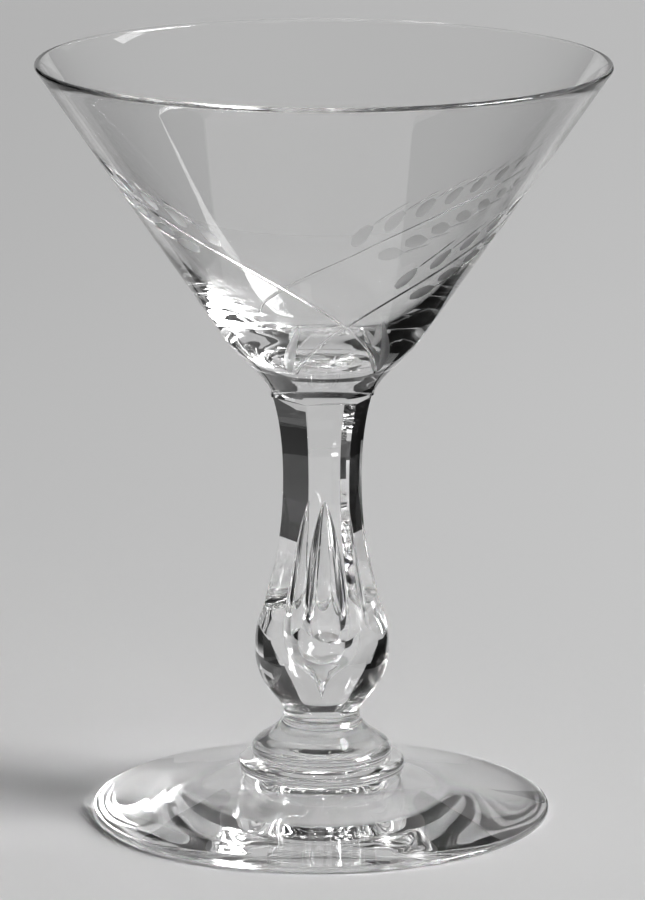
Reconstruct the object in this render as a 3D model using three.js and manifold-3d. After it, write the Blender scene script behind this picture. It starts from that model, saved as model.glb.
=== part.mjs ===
// Cocktail glass: a conical bowl on a hexagon-cut stem that holds an air tear, over a collar knop,
// a merese and a low conical foot. Five gathers of clear glass, fused end to end at flat seams.
// Millimetres, +Z up, with the origin on the table under the centre of the foot.
import * as THREE from 'three';
import { mergeVertices } from 'three/addons/utils/BufferGeometryUtils.js';
import Module from 'manifold-3d';

const wasm = await Module();
wasm.setup();

// Heights of the five pieces, stacked from the table up.
const footHeight = 7;
const mereseHeight = 2.25;
const knopHeight = 7.25;
const stemHeight = 52.75;
const bowlHeight = 52.75;

// Radii of the four fused seams, each shared by the two pieces that meet there.
const footSeamRadius = 12.75;
const mereseSeamRadius = 10.75;
const knopSeamRadius = 6.15;
const bowlSeamRadius = 8.25;

// Foot: a low cone with a rounded rim, hollowed below so that it rests on a flat ring.
const footRadius = 36.75;
const footRimThickness = 1.5;
const footTopSag = 0.6;
const restRingWidth = 3;
const footHollowRise = 2.5;

// Merese: a thick disc with a full round edge.
const mereseRadius = 13.4;

// Knop: a bell-shaped collar, from a rounded shoulder up to the stem's waist.
const knopShoulderRadius = 11.3;
const knopShoulderHeight = 1;
const knopShoulderRise = 2.3;
const knopNeckRun = 3.4;

// Stem blank: a round baluster, widest at the bulb near its lower end.
const bulbRadius = 10.75;
const bulbHeight = 10.5;
const bulbLowerSwell = 6.5;
const bulbShoulderRadius = 10.15;
const stemWaistRun = 2.5;

// Facets cut along the stem, with radii to the corners of the hexagon. They run out just above
// the bulb's widest place and just under the bowl.
const facetCount = 6;
const facetTurn = THREE.MathUtils.degToRad(-18.5);
const facetAboveBulb = 2.9;
const facetLowerRunOut = 2.3;
const facetBulbRadius = 10;
const facetBulbTaper = 0.24;
const facetBulbRun = 6.5;
const facetWaistRadius = 6.4;
const facetWaistBelowBowl = 14.25;
const facetWaistRun = 11;
const facetTopRadius = 8.05;
const facetTopFlare = 5.5;
const facetUpperRunOut = 1;

// Air tear on the stem's axis. Its fine tail ends at the seam with the knop, which closes it.
const tearRadius = 4;
const tearWidestHeight = 12.5;
const tearTipHeight = 35;
const tearTipRadius = 2.2;
const tearTipRun = 3.5;
const tearSideRun = 5;
const tearTailRadius = 0.6;
const tearTailHeight = 5.5;
const tearTailRun = 4;

// Bowl: a straight-sided cone of even wall with a rounded lip, on a solid base.
const rimRadius = 45.5;
const bowlWall = 1.4;
const bowlShoulderRadius = 15.9;
const bowlShoulderHeight = 9;
const bowlFlareSlope = 0.45;
const bowlFlareRun = 3;
const bowlBaseThickness = 6.75;
const bowlFloorRound = 6.5;
const bowlFloorRadius = 9.5;

// Fineness of the round faces.
const roundSegments = 48;
const tearSegments = 24;
const curveSteps = 6;

// Profiles are (radius, height) paths that start and end on the axis, drawn from the bottom up.
// Each is turned about the vertical, from the angle given, measured from -Y towards +X.
function turned(path, segments, firstAngle = 0) {
  const lathe = new THREE.LatheGeometry(path.getPoints(curveSteps), segments, firstAngle);
  lathe.rotateX(Math.PI / 2);
  lathe.deleteAttribute('normal');
  lathe.deleteAttribute('uv');
  const geometry = mergeVertices(lathe);
  geometry.setIndex(trianglesWithArea(geometry.index.array));
  return geometry;
}

// A lathe leaves empty triangles where its profile meets the axis.
function trianglesWithArea(corners) {
  const kept = [];
  for (let i = 0; i < corners.length; i += 3) {
    const [a, b, c] = corners.slice(i, i + 3);
    if (a !== b && b !== c && c !== a) kept.push(a, b, c);
  }
  return kept;
}

function solidFrom(geometry) {
  const vertProperties = geometry.attributes.position.array;
  const triVerts = Uint32Array.from(geometry.index.array);
  return new wasm.Manifold(new wasm.Mesh({ numProp: 3, vertProperties, triVerts }));
}

function geometryFrom(solid) {
  const { vertProperties, triVerts } = solid.getMesh();
  const geometry = new THREE.BufferGeometry();
  geometry.setAttribute('position', new THREE.BufferAttribute(vertProperties, 3));
  geometry.setIndex(new THREE.BufferAttribute(triVerts, 1));
  return geometry;
}

function footGeometry() {
  const rimArc = footRimThickness / 2;
  const rimCentre = footRadius - rimArc;
  const ringInner = rimCentre - restRingWidth;
  const topMiddleRadius = (rimCentre + footSeamRadius) / 2;
  const topMiddleHeight = (footRimThickness + footHeight) / 2;
  const path = new THREE.Path();
  path.moveTo(0, footHollowRise);
  path.quadraticCurveTo(ringInner / 2, footHollowRise, ringInner, 0);
  path.lineTo(rimCentre, 0);
  path.absarc(rimCentre, rimArc, rimArc, -Math.PI / 2, Math.PI / 2, false);
  path.quadraticCurveTo(topMiddleRadius, topMiddleHeight - footTopSag, footSeamRadius, footHeight);
  path.lineTo(0, footHeight);
  return turned(path, roundSegments);
}

function mereseGeometry() {
  const path = new THREE.Path();
  path.moveTo(0, 0);
  path.lineTo(footSeamRadius, 0);
  path.quadraticCurveTo(mereseRadius, 0, mereseRadius, mereseHeight / 2);
  path.quadraticCurveTo(mereseRadius, mereseHeight, mereseSeamRadius, mereseHeight);
  path.lineTo(0, mereseHeight);
  return turned(path, roundSegments);
}

function knopGeometry() {
  const path = new THREE.Path();
  path.moveTo(0, 0);
  path.lineTo(mereseSeamRadius, 0);
  path.quadraticCurveTo(knopShoulderRadius, 0, knopShoulderRadius, knopShoulderHeight);
  path.bezierCurveTo(
    knopShoulderRadius, knopShoulderHeight + knopShoulderRise,
    knopSeamRadius, knopHeight - knopNeckRun,
    knopSeamRadius, knopHeight,
  );
  path.lineTo(0, knopHeight);
  return turned(path, roundSegments);
}

const facetEndHeight = bulbHeight + facetAboveBulb;
const facetEdgeHeight = facetEndHeight + facetLowerRunOut;
const cornerRatio = 1 / Math.cos(Math.PI / facetCount);

function stemBlank() {
  const path = new THREE.Path();
  path.moveTo(0, 0);
  path.lineTo(knopSeamRadius, 0);
  path.bezierCurveTo(
    knopSeamRadius, stemWaistRun,
    bulbRadius, bulbHeight - bulbLowerSwell,
    bulbRadius, bulbHeight,
  );
  path.quadraticCurveTo(bulbRadius, facetEndHeight, bulbShoulderRadius, facetEdgeHeight);
  path.lineTo(bowlSeamRadius, stemHeight);
  path.lineTo(0, stemHeight);
  return solidFrom(turned(path, roundSegments));
}

// The space that the six facets leave: wider than the blank below and above their run-outs.
function facetedShaft() {
  const lowerClear = bulbRadius * cornerRatio + facetLowerRunOut;
  const upperClear = bowlSeamRadius * cornerRatio + facetUpperRunOut;
  const waistHeight = stemHeight - facetWaistBelowBowl;
  const topEdge = stemHeight - facetUpperRunOut;
  const path = new THREE.Path();
  path.moveTo(0, -facetLowerRunOut);
  path.lineTo(lowerClear, -facetLowerRunOut);
  path.lineTo(lowerClear, facetEndHeight);
  path.quadraticCurveTo(facetBulbRadius, facetEndHeight, facetBulbRadius, facetEdgeHeight);
  path.bezierCurveTo(
    facetBulbRadius - facetBulbTaper * facetBulbRun, facetEdgeHeight + facetBulbRun,
    facetWaistRadius, waistHeight - facetWaistRun,
    facetWaistRadius, waistHeight,
  );
  path.quadraticCurveTo(facetWaistRadius, topEdge - facetTopFlare, facetTopRadius, topEdge);
  path.lineTo(upperClear, stemHeight);
  path.lineTo(upperClear, stemHeight + facetUpperRunOut);
  path.lineTo(0, stemHeight + facetUpperRunOut);
  return solidFrom(turned(path, facetCount, facetTurn));
}

function airTear() {
  const path = new THREE.Path();
  path.moveTo(0, -tearTailRun);
  path.lineTo(tearTailRadius, -tearTailRun);
  path.lineTo(tearTailRadius, tearTailHeight);
  path.bezierCurveTo(
    tearTailRadius, tearTailHeight + tearTailRun,
    tearRadius, tearWidestHeight - tearSideRun,
    tearRadius, tearWidestHeight,
  );
  path.bezierCurveTo(
    tearRadius, tearWidestHeight + tearSideRun,
    tearTipRadius, tearTipHeight - tearTipRun,
    0, tearTipHeight,
  );
  return solidFrom(turned(path, tearSegments));
}

function stemGeometry() {
  return geometryFrom(stemBlank().intersect(facetedShaft()).subtract(airTear()));
}

// The lip is a half round on the wall's middle line, and the straight outside is its tangent
// from the shoulder. The inside runs parallel, one wall thickness in, down to the floor's round.
function bowlGeometry() {
  const lipArc = bowlWall / 2;
  const lipRadius = rimRadius - lipArc;
  const lipHeight = bowlHeight - lipArc;
  const run = lipRadius - bowlShoulderRadius;
  const rise = lipHeight - bowlShoulderHeight;
  const lean = Math.atan2(run, rise) + Math.asin(lipArc / Math.hypot(run, rise));
  const slope = Math.tan(lean);
  const insideRadius = (height) =>
    bowlShoulderRadius + slope * (height - bowlShoulderHeight) - bowlWall / Math.cos(lean);
  const roundTop = bowlBaseThickness + bowlFloorRound;
  const roundMiddle = bowlBaseThickness + bowlFloorRound / 3;
  const path = new THREE.Path();
  path.moveTo(0, 0);
  path.lineTo(bowlSeamRadius, 0);
  path.bezierCurveTo(
    bowlSeamRadius + bowlFlareSlope * bowlFlareRun, bowlFlareRun,
    bowlShoulderRadius - slope * bowlFlareRun, bowlShoulderHeight - bowlFlareRun,
    bowlShoulderRadius, bowlShoulderHeight,
  );
  path.absarc(lipRadius, lipHeight, lipArc, -lean, Math.PI - lean, false);
  path.lineTo(insideRadius(roundTop), roundTop);
  path.bezierCurveTo(
    insideRadius(roundMiddle), roundMiddle,
    bowlFloorRadius, bowlBaseThickness,
    0, bowlBaseThickness,
  );
  return turned(path, roundSegments);
}

function clearGlass(tint) {
  return new THREE.MeshStandardMaterial({
    color: tint,
    roughness: 0.04,
    metalness: 0,
    transparent: true,
    opacity: 0.35,
    flatShading: true,
  });
}

function piece(name, geometry, seatHeight, tint) {
  const mesh = new THREE.Mesh(geometry, clearGlass(tint));
  mesh.name = name;
  mesh.position.z = seatHeight;
  return mesh;
}

const mereseSeat = footHeight;
const knopSeat = mereseSeat + mereseHeight;
const stemSeat = knopSeat + knopHeight;
const bowlSeat = stemSeat + stemHeight;

const glass = new THREE.Group();
glass.name = 'cocktail_glass';
glass.add(piece('foot', footGeometry(), 0, 0xe2e5e4));
glass.add(piece('merese', mereseGeometry(), mereseSeat, 0xdfe3e2));
glass.add(piece('knop', knopGeometry(), knopSeat, 0xdfe3e2));
glass.add(piece('stem', stemGeometry(), stemSeat, 0xdde1e1));
glass.add(piece('bowl', bowlGeometry(), bowlSeat, 0xe6e9e8));

export default glass;
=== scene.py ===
import math
import bmesh
import bpy
from mathutils import Matrix, Vector


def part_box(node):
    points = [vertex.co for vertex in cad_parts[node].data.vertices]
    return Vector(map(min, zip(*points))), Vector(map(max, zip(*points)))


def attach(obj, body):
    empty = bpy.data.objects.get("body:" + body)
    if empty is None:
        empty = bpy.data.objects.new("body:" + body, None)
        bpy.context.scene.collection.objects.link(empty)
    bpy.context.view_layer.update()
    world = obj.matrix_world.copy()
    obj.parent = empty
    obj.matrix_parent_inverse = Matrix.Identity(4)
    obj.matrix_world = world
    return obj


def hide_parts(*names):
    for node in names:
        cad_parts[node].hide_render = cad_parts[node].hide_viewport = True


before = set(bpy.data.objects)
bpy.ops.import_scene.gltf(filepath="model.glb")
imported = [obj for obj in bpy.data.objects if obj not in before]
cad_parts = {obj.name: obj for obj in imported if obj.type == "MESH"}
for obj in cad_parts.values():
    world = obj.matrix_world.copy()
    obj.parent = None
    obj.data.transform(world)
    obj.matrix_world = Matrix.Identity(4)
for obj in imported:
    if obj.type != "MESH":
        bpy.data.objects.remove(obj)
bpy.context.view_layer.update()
mm = 0.001
fullTurn = 2 * math.pi
roundSteps = 240  # flats round every turned piece, so that neighbours share their seam circle
straightSteps = 3  # steps along a straight stretch of an outline
mergeDistance = 1e-7  # metres
touching = 1e-3  # mm
print("frame loaded:", ", ".join(sorted(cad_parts)))

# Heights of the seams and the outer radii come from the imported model, in mm.
footTop, mereseTop, knopTop, stemTop, rimTop = (
    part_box(node)[1].z / mm for node in ("foot", "merese", "knop", "stem", "bowl")
)
footRadius, mereseRadius, rimRadius = (
    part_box(node)[1].x / mm for node in ("foot", "merese", "bowl")
)
seamRadius = {"foot": 12.75, "merese": 10.75, "knop": 6.15, "stem": 8.25}


def linear(code):  # sRGB hex to the linear colour that sockets take
    parts = [int(code[i:i + 2], 16) / 255 for i in (1, 3, 5)]
    return [c / 12.92 if c <= 0.04045 else ((c + 0.055) / 1.055) ** 2.4 for c in parts] + [1]


def addNode(tree, kind, settings=None, links=None):
    node = tree.nodes.new(kind)
    for name, value in (settings or {}).items():
        if name in node.inputs:
            node.inputs[name].default_value = value
        else:
            setattr(node, name, value)
    for socket, source in (links or {}).items():
        tree.links.new(source, node.inputs[socket])
    return node


def newMaterial(name):
    material = bpy.data.materials.new(name)
    material.use_nodes = True
    material.node_tree.nodes.clear()
    return material, material.node_tree


def finishMaterial(tree, shader):
    addNode(tree, "ShaderNodeOutputMaterial", links={"Surface": shader.outputs[0]})


glassIor = 1.52

# Clear crystal, blown and fire polished: no colour of its own, mirror-smooth,
# with slow waves left by the tools. Spacing and height are in mm.
clearGlass = {"colour": "#FEFEFE", "roughness": 0.0,
              "spacing": 14, "height": 0.004, "detail": 1.0, "strength": 1.0}

# Grey cutting: the stone wheel leaves the glass matt, with fine scratches, so a grain
# is a soft pale grey. The grit is far finer, and is drawn coarse enough to show.
greyCut = {"colour": "#D8D8D8", "roughness": 0.5,
           "spacing": 0.3, "height": 0.012, "detail": 3.0, "strength": 1.0}

# A narrow wheel cuts stalks and awns in one pass and leaves them nearly bright:
# a thin glinting line, with the same grit at half its strength.
brightCut = {"colour": "#FCFCFC", "roughness": 0.12,
             "spacing": 0.3, "height": 0.012, "detail": 2.0, "strength": 0.5}


def glassFinish(name, look):
    material, tree = newMaterial(name)
    place = addNode(tree, "ShaderNodeTexCoord")
    relief = addNode(tree, "ShaderNodeTexNoise",
                     {"Scale": 1 / (look["spacing"] * mm), "Detail": look["detail"]},
                     {"Vector": place.outputs["Object"]})
    bump = addNode(tree, "ShaderNodeBump",
                   {"Strength": look["strength"], "Distance": look["height"] * mm},
                   {"Height": relief.outputs["Fac"]})
    shader = addNode(tree, "ShaderNodeBsdfPrincipled",
                     {"Base Color": linear(look["colour"]), "Transmission Weight": 1.0,
                      "Roughness": look["roughness"], "IOR": glassIor},
                     {"Normal": bump.outputs["Normal"]})
    finishMaterial(tree, shader)
    return material


# Where two gathers were fused hot there is no surface left: light goes straight on,
# as if nothing were there.
def fusedSeam():
    material, tree = newMaterial("fused_glass_seam")
    shader = addNode(tree, "ShaderNodeBsdfPrincipled",
                     {"Base Color": linear("#FFFFFF"), "Alpha": 0.0})
    finishMaterial(tree, shader)
    return material


glassFinishes = [
    glassFinish("blown_crystal_fire_polished", clearGlass),
    fusedSeam(),
    glassFinish("stone_wheel_cut_matt_glass", greyCut),
    glassFinish("narrow_wheel_cut_bright_glass", brightCut),
]
clearFinish, seamFinish, greyFinish, brightFinish = range(len(glassFinishes))
print("materials made:", ", ".join(m.name for m in glassFinishes))


def curve(points, steps):  # Bezier curve over its control points, without its first point
    made = []
    for i in range(1, steps + 1):
        row = [Vector(p) for p in points]
        while len(row) > 1:
            row = [a.lerp(b, i / steps) for a, b in zip(row, row[1:])]
        made.append(tuple(row[0]))
    return made


def arc(centre, radius, start, end, steps):  # round stretch of an outline, angles in degrees
    angles = [math.radians(start + (end - start) * i / steps) for i in range(steps + 1)]
    return [(centre[0] + radius * math.cos(a), centre[1] + radius * math.sin(a)) for a in angles]


def roundedLine(points, steps):  # every corner is rounded between the middles of its sides
    made = [points[0]]
    for k in range(1, len(points) - 1):
        last = k == len(points) - 2
        end = points[-1] if last else tuple((Vector(points[k]) + Vector(points[k + 1])) / 2)
        made += curve([made[-1], points[k], end], steps)
    return made


def turned(outline, steps=roundSteps):  # spins an outline of radius and height, in mm
    bm = bmesh.new()
    verts = [bm.verts.new((r * mm, 0, z * mm)) for r, z in outline]
    edges = [bm.edges.new(pair) for pair in zip(verts, verts[1:])]
    bmesh.ops.spin(bm, geom=verts + edges, cent=(0, 0, 0), axis=(0, 0, 1), angle=fullTurn,
                   steps=steps, use_merge=True)
    bmesh.ops.remove_doubles(bm, verts=bm.verts, dist=mergeDistance)
    bmesh.ops.recalc_face_normals(bm, faces=bm.faces)
    return bm


def newObject(name, bm):
    mesh = bpy.data.meshes.new(name)
    bm.to_mesh(mesh)
    bm.free()
    for finish in glassFinishes:
        mesh.materials.append(finish)
    made = bpy.data.objects.new(name, mesh)
    bpy.context.scene.collection.objects.link(made)
    return made


def evaluatedMesh(source):
    graph = bpy.context.evaluated_depsgraph_get()
    return bpy.data.meshes.new_from_object(source.evaluated_get(graph))


def boolean(body, tool, operation):  # leaves the result in body's mesh and removes the tool
    step = body.modifiers.new("cut", "BOOLEAN")
    step.operation = operation
    step.solver = "MANIFOLD"
    step.object = tool
    cut = evaluatedMesh(body)
    body.modifiers.clear()
    cut.name = body.name
    body.data = cut
    bpy.data.objects.remove(tool)


def finishPiece(piece, node, seams, sharpAngle=30):  # seams: heights of its fused faces, in mm
    bm = bmesh.new()
    bm.from_mesh(piece.data)
    for face in bm.faces:
        face.smooth = True
        heights = [v.co.z / mm for v in face.verts]
        if any(max(abs(h - seam) for h in heights) < touching for seam in seams):
            face.material_index = seamFinish
    for edge in bm.edges:
        bend = edge.calc_face_angle(0)
        edge.smooth = bend < math.radians(sharpAngle)
        if len({face.material_index for face in edge.link_faces}) > 1:
            edge.smooth = False
    bm.to_mesh(piece.data)
    bm.free()
    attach(piece, "root")
    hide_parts(node)
    print(piece.name, "made:", len(piece.data.polygons), "faces")


# Foot: a pressed and turned disc with a domed underside and a thin rim just off the table.
# The wooden blocks left slow rings on both faces, which wander a little on their way round.
footSize = {
    "rimThickness": 0.99, "rimLift": 0.26, "rimSteps": 14,
    "topSag": 0.6, "topSlope": 0.1, "topSteps": 110,
    "under": [(0, 3.31), (7.5, 3.31), (10.5, 3.01), (18, 1.56),
              (21, 1.03), (26.5, 0.55), (31.5, 0.01), (34.3, -0.01)],
    "underSteps": 14,
    "ringSpacing": 9.0, "ringHeight": 0.012, "ringPhase": 0.4,
    "wander": 0.5, "wanderTurns": (2, 5), "wanderShare": 0.6,
    "underRings": 1.2, "underFrom": 22, "underShift": 2.2, "underTurn": 0.7,
    "rimFade": 2, "seamFade": 1.5, "underFade": 3,
}


def toolRing(radius, angle):  # height of the tool rings at a place on the foot, in mm
    s = footSize
    phase = s["ringPhase"]
    slow, quick = s["wanderTurns"]
    drift = s["wander"] * (math.sin(slow * angle + phase)
                           + s["wanderShare"] * math.sin(quick * angle + 2 * phase))
    return s["ringHeight"] * math.cos(fullTurn * radius / s["ringSpacing"] + phase + drift)


def makeFoot():
    s = footSize
    roundRadius = s["rimThickness"] / 2
    edge, rimTopHeight = footRadius - roundRadius, s["rimLift"] + s["rimThickness"]
    seam = seamRadius["foot"]
    middle = ((edge + seam) / 2, (rimTopHeight + footTop) / 2 - s["topSag"])
    outline = roundedLine(s["under"] + [(edge, s["rimLift"])], s["underSteps"])
    outline += arc((edge, s["rimLift"] + roundRadius), roundRadius, -90, 90, s["rimSteps"])[1:]
    outline += curve([(edge, rimTopHeight), middle, (seam, footTop)], s["topSteps"])
    outline += [(0, footTop)]
    bm = turned(outline)
    for v in bm.verts:
        radius = math.hypot(v.co.x, v.co.y) / mm
        angle = math.atan2(v.co.y, v.co.x)
        height = v.co.z / mm
        topFrom = rimTopHeight - touching + s["topSlope"] * (edge - radius)
        if seam + touching < radius < edge and height > topFrom:
            fade = min(1, (edge - radius) / s["rimFade"], (radius - seam) / s["seamFade"])
            v.co.z += fade * toolRing(radius, angle) * mm
        elif s["underFrom"] < radius < edge and height < footTop - touching:
            fromInside = (radius - s["underFrom"]) / s["underFade"]
            fade = min(1, (edge - radius) / s["rimFade"], fromInside)
            ring = toolRing(radius + s["underShift"], angle + s["underTurn"])
            v.co.z += s["underRings"] * fade * ring * mm
    finishPiece(newObject("footDisc", bm), "foot", [footTop])


# Merese: the flat button between foot and knop.
mereseSize = {"lowerSteps": 10, "upperSteps": 14}


def makeMerese():
    s = mereseSize
    lower, upper = seamRadius["foot"], seamRadius["merese"]
    half = (footTop + mereseTop) / 2
    widest = (mereseRadius, half)
    outline = [(0, footTop)]
    outline += curve([(0, footTop), (lower, footTop)], straightSteps)
    outline += curve([(lower, footTop), (mereseRadius, footTop), widest], s["lowerSteps"])
    outline += curve([widest, (mereseRadius, mereseTop), (upper, mereseTop)], s["upperSteps"])
    outline += [(0, mereseTop)]
    finishPiece(newObject("mereseButton", turned(outline)), "merese", [footTop, mereseTop])


# Knop: a shoulder that sweeps in to the neck under the stem.
knopSize = {"shoulderRadius": 11.3, "shoulderHeight": 1, "shoulderRise": 2.3, "neckRun": 3.4,
            "shoulderSteps": 10, "sweepSteps": 36}


def makeKnop():
    s = knopSize
    lower, upper = seamRadius["merese"], seamRadius["knop"]
    wide, high = s["shoulderRadius"], mereseTop + s["shoulderHeight"]
    outline = [(0, mereseTop)]
    outline += curve([(0, mereseTop), (lower, mereseTop)], straightSteps)
    outline += curve([(lower, mereseTop), (wide, mereseTop), (wide, high)], s["shoulderSteps"])
    outline += curve([(wide, high), (wide, high + s["shoulderRise"]),
                      (upper, knopTop - s["neckRun"]), (upper, knopTop)], s["sweepSteps"])
    outline += [(0, knopTop)]
    finishPiece(newObject("knopSpool", turned(outline)), "knop", [mereseTop, knopTop])


# Stem: a turned blank with six cut flats that run out on the bulb, and an air tear inside it.
stemSize = {
    "bulbRadius": 10.75, "bulbHeight": 10.5, "waistRun": 2.5, "lowerSwell": 6.5,
    "shoulderRadius": 10.15, "swellSteps": 48, "shoulderSteps": 24, "shaftSteps": 60,
    "flats": 6, "flatTurn": -18.5, "sharpAngle": 22,
    "flatAboveBulb": 2.9, "lowerRunOut": 2.3, "runOutSpread": 3.5, "runOutDrop": 0.9,
    "runOutBow": (0.2, -0.4), "runOutRise": 2, "runOutSteps": 28,
    "flatBulbRadius": 10, "flatTaper": 0.24, "flatBulbRun": 6.5,
    "waistRadius": 6.4, "waistBelowBowl": 14.25, "flatWaistRun": 11, "flatSteps": 56,
    "flatTopRadius": 8.05, "topFlare": 5.5, "topSteps": 28, "upperRunOut": 1,
    "clearOut": 20, "clearUnder": 4, "clearDrop": 2, "clearOver": 3, "clearSlope": 2.55,
}


def stemBlank():
    s = stemSize
    lower, upper = seamRadius["knop"], seamRadius["stem"]
    bulb = knopTop + s["bulbHeight"]
    widest = (s["bulbRadius"], bulb)
    shoulderTop = bulb + s["flatAboveBulb"] + s["lowerRunOut"]
    joint = (s["shoulderRadius"], shoulderTop)
    outline = [(0, knopTop)]
    outline += curve([(0, knopTop), (lower, knopTop)], straightSteps)
    outline += curve([(lower, knopTop), (lower, knopTop + s["waistRun"]),
                      (s["bulbRadius"], bulb - s["lowerSwell"]), widest], s["swellSteps"])
    outline += curve([widest, (s["bulbRadius"], shoulderTop - s["lowerRunOut"]), joint],
                     s["shoulderSteps"])
    outline += curve([joint, (upper, stemTop)], s["shaftSteps"])
    outline += [(0, stemTop)]
    return turned(outline)


def flattedShaft():  # six-sided shaft that leaves the flats, wider than the blank beyond them
    s = stemSize
    low = knopTop + s["bulbHeight"] + s["flatAboveBulb"]
    full = low + s["lowerRunOut"]
    bulbFlat, rise = s["flatBulbRadius"], s["runOutRise"]
    bow = (bulbFlat + s["runOutBow"][0], full + s["runOutBow"][1])
    joint = (bulbFlat - s["flatTaper"] * rise, full + rise)
    waist = (s["waistRadius"], stemTop - s["waistBelowBowl"])
    top = (s["flatTopRadius"], stemTop - s["upperRunOut"])
    floor, over = knopTop - s["clearUnder"], top[1] + s["clearOver"]
    outline = [(0, floor), (s["clearOut"], floor), (s["clearOut"], low - s["clearDrop"])]
    outline += curve([(bulbFlat + s["runOutSpread"], low - s["runOutDrop"]), bow, joint],
                     s["runOutSteps"])
    outline += curve([joint,
                      (bulbFlat - s["flatTaper"] * s["flatBulbRun"], full + s["flatBulbRun"]),
                      (waist[0], waist[1] - s["flatWaistRun"]), waist], s["flatSteps"])
    outline += curve([waist, (waist[0], top[1] - s["topFlare"]), top], s["topSteps"])
    outline += curve([top, (top[0] + s["clearSlope"] * s["clearOver"], over)], straightSteps)
    outline += [(0, over)]
    bm = turned(outline, s["flats"])
    turn = Matrix.Rotation(math.radians(s["flatTurn"]) - math.pi / 2, 3, "Z")
    bmesh.ops.rotate(bm, cent=(0, 0, 0), matrix=turn, verts=bm.verts)
    return bm


tearSize = {
    "radius": 4, "widest": 12.5, "belly": 5.5, "side": 5,
    "tail": 5, "tailRadius": 0.9, "tailRun": 4, "tailSteps": 32,
    "tip": 35, "tipRadius": 2.2, "tipRun": 3.5, "tipSteps": 48, "roundSteps": 96,
}


def airTear():
    t = tearSize
    low, high = knopTop + t["tail"], knopTop + t["tip"]
    middle = knopTop + t["widest"]
    widest = (t["radius"], middle)
    outline = [(0, low)]
    outline += curve([(0, low), (t["tailRadius"], low + t["tailRun"]),
                      (t["radius"], middle - t["belly"]), widest], t["tailSteps"])
    outline += curve([widest, (t["radius"], middle + t["side"]),
                      (t["tipRadius"], high - t["tipRun"]), (0, high)], t["tipSteps"])
    bm = turned(outline, t["roundSteps"])
    bmesh.ops.reverse_faces(bm, faces=bm.faces)  # the bubble's wall faces the air inside it
    return bm


def makeStem():
    stem = newObject("cutStem", stemBlank())
    boolean(stem, newObject("flattedShaft", flattedShaft()), "INTERSECT")
    tear = newObject("airTear", airTear())
    bm = bmesh.new()
    bm.from_mesh(stem.data)
    bm.from_mesh(tear.data)
    bm.to_mesh(stem.data)
    bm.free()
    bpy.data.objects.remove(tear)
    finishPiece(stem, "stem", [knopTop, stemTop], stemSize["sharpAngle"])


# Bowl: a thin cone on a thick rounded base, with a fire-polished lip.
bowlSize = {
    "lip": 1.0, "lipSteps": 16, "wall": 1.4, "wallSteps": 24,
    "shoulderRadius": 15.9, "shoulderHeight": 9,
    "flareSlope": 0.45, "flareRun": 3, "flareSteps": 40,
    "base": 6.75, "floorRound": 27, "floorStart": 10, "floorBend": (13.4, 8.9),
    "floorRadius": 8.5, "floorSteps": 56,
}
lipRadius = bowlSize["lip"] / 2
lipCentre = (rimRadius - lipRadius, rimTop - lipRadius)
shoulder = (bowlSize["shoulderRadius"], stemTop + bowlSize["shoulderHeight"])


def wallLean():  # slope of the cone, touching the shoulder and the round of the lip
    run, rise = lipCentre[0] - shoulder[0], lipCentre[1] - shoulder[1]
    return math.atan2(run, rise) + math.asin(lipRadius / math.hypot(run, rise))


def flareControls():
    base, run = seamRadius["stem"], bowlSize["flareRun"]
    return [(base, stemTop), (base + bowlSize["flareSlope"] * run, stemTop + run),
            (shoulder[0] - math.tan(lean) * run, shoulder[1] - run), shoulder]


lean = wallLean()
flareLine = [(seamRadius["stem"], stemTop)] + curve(flareControls(), bowlSize["flareSteps"])


def wallRadius(height):  # radius of the bowl's outer wall
    if height >= shoulder[1]:
        return shoulder[0] + math.tan(lean) * (height - shoulder[1])
    for (r0, z0), (r1, z1) in zip(flareLine, flareLine[1:]):
        if z0 <= height <= z1:
            return r0 + (r1 - r0) * (height - z0) / (z1 - z0)
    return flareLine[0][0]


def insideRadius(height):  # the wall thins out from the shoulder to the lip
    share = (height - shoulder[1]) / (lipCentre[1] - shoulder[1])
    wall = bowlSize["wall"] + (bowlSize["lip"] - bowlSize["wall"]) * share
    return wallRadius(height) - wall / math.cos(lean)


def bowlBlank():
    s = bowlSize
    leanTurn = math.degrees(lean)
    lip = arc(lipCentre, lipRadius, -leanTurn, 180 - leanTurn, s["lipSteps"])
    floorHeight = stemTop + s["base"]
    blend = stemTop + s["floorRound"]
    blendPoint = (insideRadius(blend), blend)
    start = blend - s["floorStart"]
    bend = (s["floorBend"][0], stemTop + s["floorBend"][1])
    outline = [(0, stemTop)]
    outline += curve([(0, stemTop), flareLine[0]], straightSteps)
    outline += flareLine[1:]
    outline += curve([shoulder, lip[0]], s["wallSteps"])
    outline += lip[1:]
    outline += curve([lip[-1], blendPoint], s["wallSteps"])
    outline += curve([blendPoint, (insideRadius(start), start), bend,
                      (s["floorRadius"], floorHeight), (0, floorHeight)], s["floorSteps"])
    return turned(outline)


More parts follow.
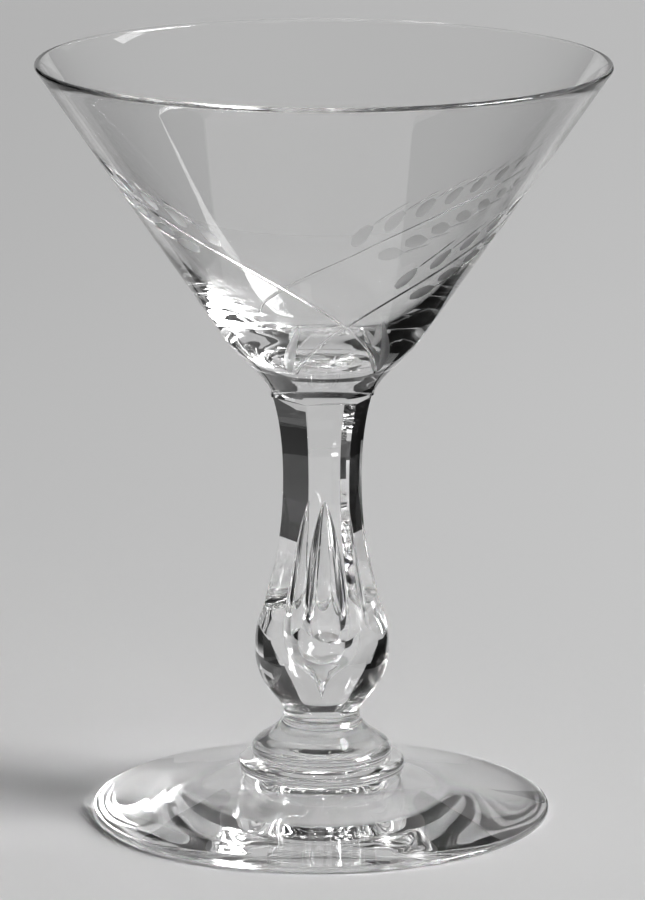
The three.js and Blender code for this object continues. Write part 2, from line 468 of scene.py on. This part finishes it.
# Wheat ears cut into the outer wall. Places are azimuth from the front in degrees
# and height in mm. A start is the first grain's azimuth and how far the lower row lags.
earStalks = {
    "left": [(43.7, 73.8), (14, 82), (-18, 92), (-75, 105.5)],
    "right": [(-20.3, 74.1), (6, 82.5), (38, 91), (88, 102)],
    "back": [(-106.5, 74.2), (-150, 79.2), (-196, 83.8), (-266, 103.8)],
}
earStarts = {"left": (-35, 3.2), "right": (30.5, 1.2), "back": (-194, 3.2)}
earSize = {
    "stalkWidth": 0.6, "stalkDepth": 0.15, "stalkSteps": 400, "stride": 0.25,
    "awnWidth": 0.34, "awnDepth": 0.12, "awnLengths": (7.4, 5.4), "awnSplay": 8, "awnSteps": 6,
    "grainLength": 5.6, "grainWidth": 2.6, "grainDepth": 0.11, "grainSteps": 12,
    "grainSkew": 0.85, "grainFullness": 0.75, "grainsEachSide": 8, "grainPitch": 5.8,
    "grainSplay": 20, "grainGap": 1.85, "tipShrink": 0.28,
    "lineRound": 6, "grainRound": 22,
}
leafSize = {"width": 1.9, "depth": 0.14, "skew": 0.6, "steps": 20, "round": 22}
leafPaths = [
    [(-25, 74.3), (-17, 79), (-9.5, 84.2)],
    [(46, 73.8), (35, 79.5), (26.5, 84.8)],
    [(43.5, 74), (29, 78), (20.3, 81)],
]
slopeReach = 0.2  # mm up and down the wall over which its slope is taken
grooveEnd = 0.985  # share of the rod's distance to the wall, so its ends stay out of the glass


def wallPlace(azimuth, height, outside):  # point on the outer wall, moved out along its normal
    radius = wallRadius(height)
    above, below = wallRadius(height + slopeReach), wallRadius(height - slopeReach)
    slope = (above - below) / (2 * slopeReach)
    out = Vector((1, -slope)).normalized() * outside
    angle = math.radians(azimuth)
    return Vector((math.sin(angle) * (radius + out[0]), -math.cos(angle) * (radius + out[0]),
                   height + out[1]))


def wallStep(place, along, aside):  # walks over the cone: along is level, aside is up the wall
    azimuth, height = place
    radius = wallRadius(height)
    return azimuth + math.degrees(along / radius), height + aside * math.cos(lean)


def groove(path, widths, widest, depth):  # a rod along the wall that cuts these widths into it
    reach = (widest * widest / 4 + depth * depth) / (2 * depth) - depth
    points = [wallPlace(azimuth, height, reach) for azimuth, height in path]
    radii = [grooveEnd * reach if w <= 0 else math.hypot(reach, w / 2) for w in widths]
    return points, radii


def grooveTool(name, grooves, resolution, finish):
    data = bpy.data.curves.new(name, "CURVE")
    data.dimensions = "3D"
    data.bevel_depth = mm
    data.bevel_resolution = resolution
    data.use_fill_caps = True
    for points, radii in grooves:
        spline = data.splines.new("POLY")
        spline.points.add(len(points) - 1)
        for knot, place, radius in zip(spline.points, points, radii):
            knot.co = (*(place * mm), 1)
            knot.radius = radius
    rods = bpy.data.objects.new(name, data)
    bpy.context.scene.collection.objects.link(rods)
    mesh = evaluatedMesh(rods)
    bpy.data.objects.remove(rods)
    bm = bmesh.new()
    bm.from_mesh(mesh)
    bmesh.ops.remove_doubles(bm, verts=bm.verts, dist=mergeDistance)
    bmesh.ops.recalc_face_normals(bm, faces=bm.faces)
    for face in bm.faces:
        face.material_index = finish
    return newObject(name, bm)


def straightPath(start, heading, length, steps):  # straight stroke on the wall
    places = [start]
    stride = length / steps
    for _ in range(steps):
        along, aside = stride * math.cos(heading), stride * math.sin(heading)
        places.append(wallStep(places[-1], along, aside))
    return places


def stalkWalk(controls, stride):  # places about one stride apart, with the heading at each
    fine = [controls[0]] + curve(controls, earSize["stalkSteps"])
    walk, walked = [], 0.0
    for a, b in zip(fine, fine[1:]):
        along = math.radians(b[0] - a[0]) * wallRadius(a[1])
        aside = (b[1] - a[1]) / math.cos(lean)
        if walked <= 0:
            walk.append((a, math.atan2(aside, along)))
            walked += stride
        walked -= math.hypot(along, aside)
    return walk


def evenWidths(width, count):  # one width all along, with closed ends
    return [0] + [width] * (count - 2) + [0]


def grainWidths(width):  # fullest a little before the middle, with closed ends
    e = earSize
    steps = e["grainSteps"]
    swell = [math.sin(math.pi * (k / steps) ** e["grainSkew"]) for k in range(1, steps)]
    return [0] + [width * part ** e["grainFullness"] for part in swell] + [0]


def wheatEar(name):
    e = earSize
    walk = stalkWalk(earStalks[name], e["stride"])
    stalk = [place for place, heading in walk]
    stalkWidths = evenWidths(e["stalkWidth"], len(stalk))
    awnWidths = evenWidths(e["awnWidth"], e["awnSteps"] + 1)
    lines = [groove(stalk, stalkWidths, e["stalkWidth"], e["stalkDepth"])]
    grains = []
    upSide = 1 if math.cos(walk[-1][1]) > 0 else -1  # the ear's lean decides which side is up
    start, delay = earStarts[name]
    first = min(range(len(walk)), key=lambda k: abs(walk[k][0][0] - start))
    distance = 0
    for i in range(2 * e["grainsEachSide"]):
        lower = i % 2
        side = -upSide if lower else upSide
        size = 1 - e["tipShrink"] * (i // 2) / (e["grainsEachSide"] - 1)
        at = first + round((distance + lower * delay * size) / e["stride"])
        distance += lower * e["grainPitch"] * size
        if at >= len(walk):
            break
        place, heading = walk[at]
        seat = wallStep(place, -side * math.sin(heading) * e["grainGap"],
                        side * math.cos(heading) * e["grainGap"])
        tilt = heading + side * math.radians(e["grainSplay"])
        width = e["grainWidth"] * size
        path = straightPath(seat, tilt, e["grainLength"] * size, e["grainSteps"])
        grains.append(groove(path, grainWidths(width), width, e["grainDepth"] * size))
        awnTilt = heading + side * math.radians(e["awnSplay"])
        awn = straightPath(path[-2], awnTilt, e["awnLengths"][lower] * size, e["awnSteps"])
        lines.append(groove(awn, awnWidths, e["awnWidth"], e["awnDepth"]))
    return lines, grains


def leaf(controls):
    f = leafSize
    steps = f["steps"]
    path = [controls[0]] + curve(controls, steps)
    swell = [math.sin(math.pi * (k / steps) ** f["skew"]) for k in range(1, steps)]
    widths = [0] + [f["width"] * part for part in swell] + [0]
    return groove(path, widths, f["width"], f["depth"])


plainWall = {"aboveShoulder": 0.5, "belowRim": 2, "offWall": 0.02}  # mm


def smoothWall(mesh):  # the wall keeps the cone's own normals beside the cuts
    low, high = shoulder[1] + plainWall["aboveShoulder"], rimTop - plainWall["belowRim"]
    out, down = math.cos(lean), -math.sin(lean)
    normals = [corner.vector.copy() for corner in mesh.corner_normals]
    for face in mesh.polygons:
        if face.material_index != clearFinish:
            continue
        for loop in face.loop_indices:
            x, y, z = mesh.vertices[mesh.loops[loop].vertex_index].co / mm
            radius = math.hypot(x, y)
            if low < z < high and abs(radius - wallRadius(z)) < plainWall["offWall"]:
                normals[loop] = Vector((x / radius * out, y / radius * out, down))
    mesh.normals_split_custom_set(normals)


def makeBowl():
    bowl = newObject("coneBowl", bowlBlank())
    for name in earStalks:
        lines, grains = wheatEar(name)
        tool = grooveTool(name + "Grains", grains, earSize["grainRound"], greyFinish)
        boolean(bowl, tool, "DIFFERENCE")
        tool = grooveTool(name + "Lines", lines, earSize["lineRound"], brightFinish)
        boolean(bowl, tool, "DIFFERENCE")
    for i, controls in enumerate(leafPaths):
        tool = grooveTool("leaf%d" % i, [leaf(controls)], leafSize["round"], greyFinish)
        boolean(bowl, tool, "DIFFERENCE")
    finishPiece(bowl, "bowl", [stemTop])
    smoothWall(bowl.data)


makeFoot()
makeMerese()
makeKnop()
makeStem()
makeBowl()

# Stage: a pale matt floor and soft lamps. Pale and dark cards, which only the glass shows,
# give it its bright and dark bands. Sizes are in metres and angles in degrees.
stageSize = {
    "floorRadius": 1.3, "floorSteps": 96, "floorColour": "#DADADA", "floorRoughness": 0.9,
    "floorGloss": 0.1, "worldCamera": 0.5, "worldLeft": 0.004, "worldRight": 0.08,
    "worldBlend": 0.3, "lampAim": (0, 0, 0.06), "groundHeight": 0.0005,
}
softLights = {  # azimuth is from the camera's side, to the right
    "keyWindow": {"azimuth": 75, "elevation": 20.5, "distance": 2.4,
                  "size": (1.2, 1.2), "power": 112, "inGlass": True},
    "sideWindow": {"azimuth": 99, "elevation": 33.5, "distance": 2.4,
                   "size": (0.62, 0.25), "power": 2.9, "inGlass": True},
    "backFill": {"azimuth": -178, "elevation": 18, "distance": 1.42,
                 "size": (1.1, 1.1), "power": 2.6, "inGlass": False},
}
groundCards = {  # low cards on both sides, dark near the glass and pale further out
    "leftGround": {"paleness": (0.002, 0.42),
                   "corners": [(-0.077, -0.05), (-0.082, 0.09), (-0.152, 0.216),
                               (-0.27, 0.216), (-0.27, -0.05)]},
    "rightGround": {"paleness": (0.02, 0.42),
                    "corners": [(0.058, -0.05), (0.062, 0.088), (0.141, 0.271),
                                (0.27, 0.271), (0.27, -0.05)]},
}
groundFade = {"near": 0.13, "far": 0.26}
standingCards = {  # edges: azimuth from straight behind, and elevation, from a height on the axis
    "backCard": {"facing": 0, "distance": 0.42, "eye": 0.02, "paleness": 0.5,
                 "edge": [(-31, -2.7), (-31, 0), (-27, 8), (-23, 19), (-23, 40),
                          (18, 40), (18, 19), (20, 9), (24, 0), (24, -2.7)]},
    "sideCard": {"facing": 55, "distance": 0.6, "eye": 0.02, "paleness": 0.5,
                 "edge": [(40, 9), (40, 24), (66, 24), (66, 9)]},
    "frontCard": {"facing": 157, "distance": 0.7, "eye": 0.02, "paleness": 0.55,
                  "edge": [(150, 22), (150, 36), (164, 36), (164, 22)]},
    "frontWindow": {"facing": 157, "distance": 0.7, "eye": 0.02, "paleness": 1.5,
                    "edge": [(150, 36), (150, 46), (164, 46), (164, 36)]},
    "leftNeckFlag": {"facing": -40, "distance": 0.055, "eye": 0.06, "paleness": 0.004,
                     "edge": [(-48, -24), (-48, 3), (-31, 3), (-31, -24)]},
    "rightNeckFlag": {"facing": 40, "distance": 0.055, "eye": 0.06, "paleness": 0.02,
                      "edge": [(31, -24), (31, 3), (48, 3), (48, -24)]},
    "leftBulbFlag": {"facing": -45, "distance": 0.1, "eye": 0.025, "paleness": 0.004,
                     "edge": [(-43, -13.5), (-41.5, -11), (-35, -5.4), (-31, 0),
                              (-62, 0), (-62, -13.5)]},
    "rightBulbFlag": {"facing": 35, "distance": 0.1, "eye": 0.025, "paleness": 0.03,
                      "edge": [(35.5, -13.8), (35, -13), (27.5, -4.7), (24, 0),
                               (46, 0), (46, -13.8)]},
}


def stageObject(name, bm, material):
    mesh = bpy.data.meshes.new(name)
    bm.to_mesh(mesh)
    bm.free()
    mesh.materials.append(material)
    made = bpy.data.objects.new(name, mesh)
    bpy.context.scene.collection.objects.link(made)
    return made


def makeFloor():
    s = stageSize
    material, tree = newMaterial("matt_paper_floor")
    shader = addNode(tree, "ShaderNodeBsdfPrincipled",
                     {"Base Color": linear(s["floorColour"]), "Roughness": s["floorRoughness"],
                      "Specular IOR Level": s["floorGloss"]})
    finishMaterial(tree, shader)
    bm = bmesh.new()
    bmesh.ops.create_circle(bm, cap_ends=True, radius=s["floorRadius"], segments=s["floorSteps"])
    stageObject("floor", bm, material)


def makeCard(name, corners, paleness):  # paleness near the glass and far from it
    material, tree = newMaterial(name + "_paper")
    place = addNode(tree, "ShaderNodeTexCoord")
    away = addNode(tree, "ShaderNodeVectorMath", {"operation": "LENGTH"},
                   {0: place.outputs["Object"]})
    fade = addNode(tree, "ShaderNodeMapRange",
                   {"From Min": groundFade["near"], "From Max": groundFade["far"],
                    "To Min": paleness[0], "To Max": paleness[1]},
                   {"Value": away.outputs["Value"]})
    glow = addNode(tree, "ShaderNodeEmission", links={"Strength": fade.outputs["Result"]})
    finishMaterial(tree, glow)
    bm = bmesh.new()
    bm.faces.new([bm.verts.new(corner) for corner in corners])
    card = stageObject(name, bm, material)
    card.visible_camera = card.visible_diffuse = card.visible_shadow = False


def standingCorner(card, azimuth, elevation):
    facing, distance = math.radians(card["facing"]), card["distance"]
    turn = math.radians(azimuth) - facing
    aside = distance * math.tan(turn)
    rise = distance / math.cos(turn) * math.tan(math.radians(elevation))
    return (distance * math.sin(facing) + aside * math.cos(facing),
            distance * math.cos(facing) - aside * math.sin(facing), card["eye"] + rise)


def makeCards():
    for name, card in groundCards.items():
        corners = [(x, y, stageSize["groundHeight"]) for x, y in card["corners"]]
        makeCard(name, corners, card["paleness"])
    for name, card in standingCards.items():
        corners = [standingCorner(card, *place) for place in card["edge"]]
        makeCard(name, corners, (card["paleness"], card["paleness"]))


def makeLights():
    for name, light in softLights.items():
        lamp = bpy.data.lights.new(name, "AREA")
        lamp.shape = "RECTANGLE"
        lamp.size, lamp.size_y = light["size"]
        lamp.energy = light["power"]
        a, e = math.radians(light["azimuth"]), math.radians(light["elevation"])
        away = Vector((math.sin(a) * math.cos(e), -math.cos(a) * math.cos(e), math.sin(e)))
        stand = bpy.data.objects.new(name, lamp)
        stand.location = Vector(stageSize["lampAim"]) + away * light["distance"]
        stand.rotation_euler = away.to_track_quat("Z", "Y").to_euler()
        stand.visible_camera = False
        stand.visible_glossy = stand.visible_transmission = light["inGlass"]
        bpy.context.scene.collection.objects.link(stand)


def makeWorld():  # pale to the camera, and a dim room, darker on the left, to the rest
    s = stageSize
    world = bpy.data.worlds.new("room")
    world.use_nodes = True
    tree = world.node_tree
    tree.nodes.clear()
    path = addNode(tree, "ShaderNodeLightPath")
    place = addNode(tree, "ShaderNodeTexCoord")
    parts = addNode(tree, "ShaderNodeSeparateXYZ", links={"Vector": place.outputs["Generated"]})
    room = addNode(tree, "ShaderNodeMapRange",
                   {"From Min": -s["worldBlend"], "From Max": s["worldBlend"],
                    "To Min": s["worldLeft"], "To Max": s["worldRight"]},
                   {"Value": parts.outputs["X"]})
    seen = addNode(tree, "ShaderNodeMapRange", {"To Max": s["worldCamera"]},
                   {"Value": path.outputs["Is Camera Ray"], "To Min": room.outputs["Result"]})
    sky = addNode(tree, "ShaderNodeBackground", {"Color": linear("#FFFFFF")},
                  {"Strength": seen.outputs["Result"]})
    addNode(tree, "ShaderNodeOutputWorld", links={"Surface": sky.outputs[0]})
    bpy.context.scene.world = world


cameraPlace = {"location": (0, -0.88821, 0.26171), "lens": 228.6, "sensor": 36, "nearest": 0.05,
               "pitch": -12.831, "roll": 0.203}


def makeCamera():
    c = cameraPlace
    data = bpy.data.cameras.new("photoCamera")
    data.lens, data.sensor_width, data.clip_start = c["lens"], c["sensor"], c["nearest"]
    camera = bpy.data.objects.new("photoCamera", data)
    camera.location = c["location"]
    tilt = Matrix.Rotation(math.radians(90 + c["pitch"]), 3, "X")
    roll = Matrix.Rotation(math.radians(c["roll"]), 3, "Z")
    camera.rotation_euler = (tilt @ roll).to_euler()
    bpy.context.scene.collection.objects.link(camera)
    bpy.context.scene.camera = camera


lightPaths = {"bounces": 32, "seamPasses": 64}  # enough for light to cross every wall and seam


def setLightPaths():
    cycles = bpy.context.scene.cycles
    cycles.max_bounces = lightPaths["bounces"]
    cycles.transmission_bounces = cycles.glossy_bounces = lightPaths["bounces"]
    cycles.transparent_max_bounces = lightPaths["seamPasses"]
    cycles.sample_clamp_indirect = cycles.blur_glossy = 0  # keeps the light through the glass


makeFloor()
makeCards()
makeLights()
makeWorld()
makeCamera()
setLightPaths()
bpy.context.scene.view_settings.view_transform = "Standard"
print("stage, lights and camera set")
